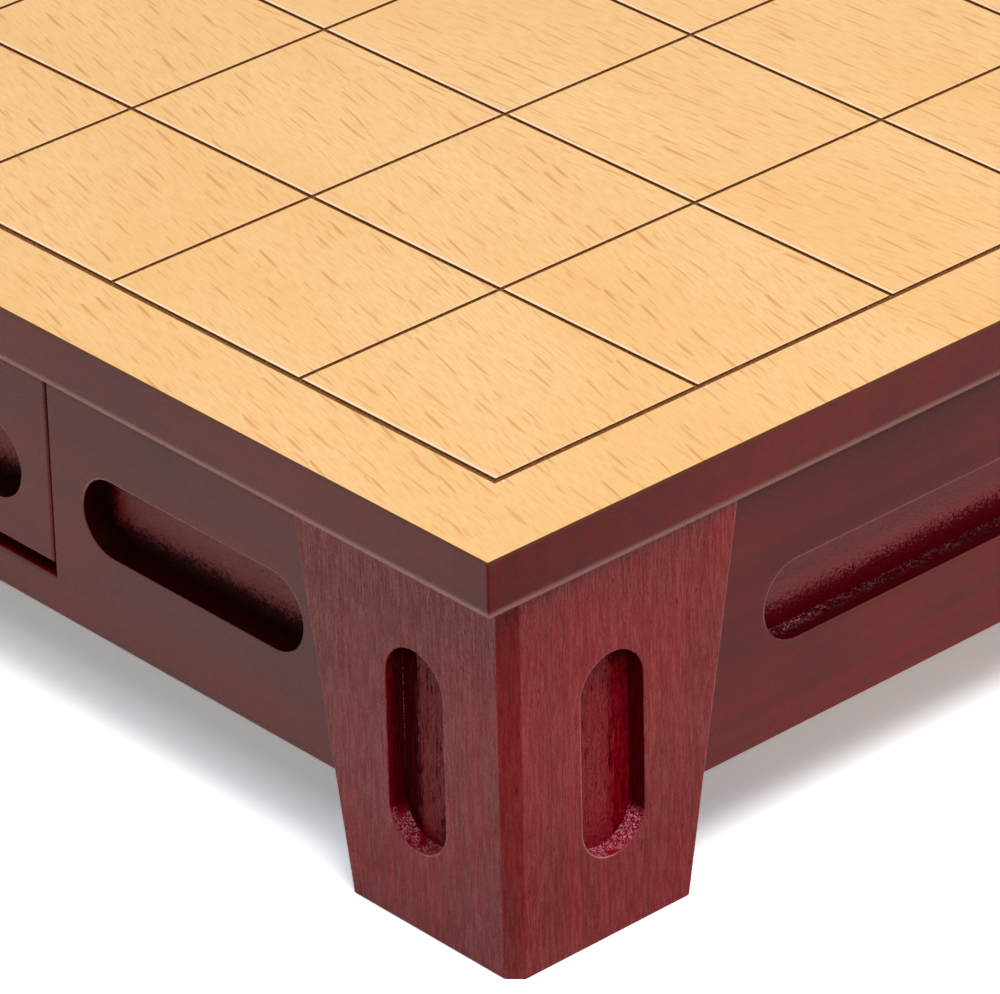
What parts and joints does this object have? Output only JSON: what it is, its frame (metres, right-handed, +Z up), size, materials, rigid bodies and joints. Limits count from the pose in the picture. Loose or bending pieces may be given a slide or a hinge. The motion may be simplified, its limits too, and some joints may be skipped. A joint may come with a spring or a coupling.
{
  "type": "shogi table",
  "caption": "Low shogi board table: engraved beech playing surface on a dark red stained frame with tapered, slotted legs and a drawer in each long side.",
  "frame": {"origin": "floor level under the middle of the board", "axes": "+X from the left drawer to the right drawer, +Y from the front player to the rear player, +Z up"},
  "size_m": [0.3568, 0.3784, 0.066],
  "materials": {
    "stained_board": "satin stained board",
    "stained_leg": "satin stained wood",
    "beech": "satin lacquer",
    "pale_wood": "bare",
    "plywood": "bare",
    "dowel_wood": "bare",
    "screw_steel": "zinc plated"
  },
  "bodies": {
    "table": {"top_core": "stained_board", "top_veneer": "beech", "leg_front_left": "stained_leg", "leg_front_right": "stained_leg", "leg_rear_left": "stained_leg", "leg_rear_right": "stained_leg", "side_apron_left": "stained_board", "side_apron_right": "stained_board", "end_apron_front": "stained_board", "end_apron_rear": "stained_board", "bottom_panel": "plywood", "drawer_guide_front": "pale_wood", "drawer_guide_rear": "pale_wood", "drawer_stop": "pale_wood", "top_cleat_front": "pale_wood", "top_cleat_rear": "pale_wood", "side_dowels": "dowel_wood", "end_dowels": "dowel_wood", "cleat_screws": "screw_steel", "panel_screws": "screw_steel"},
    "left_drawer": {"left_drawer_front": "stained_board", "left_drawer_side_front": "pale_wood", "left_drawer_side_rear": "pale_wood", "left_drawer_back": "pale_wood", "left_drawer_bottom": "plywood"},
    "right_drawer": {"right_drawer_front": "stained_board", "right_drawer_side_front": "pale_wood", "right_drawer_side_rear": "pale_wood", "right_drawer_back": "pale_wood", "right_drawer_bottom": "plywood"}
  },
  "joints": [
    {"name": "left_drawer_slide", "type": "slide", "parent": "table", "child": "left_drawer", "axis": [-1, 0, 0], "range_m": [0, 0.125]},
    {"name": "right_drawer_slide", "type": "slide", "parent": "table", "child": "right_drawer", "axis": [1, 0, 0], "range_m": [0, 0.125]}
  ]
}
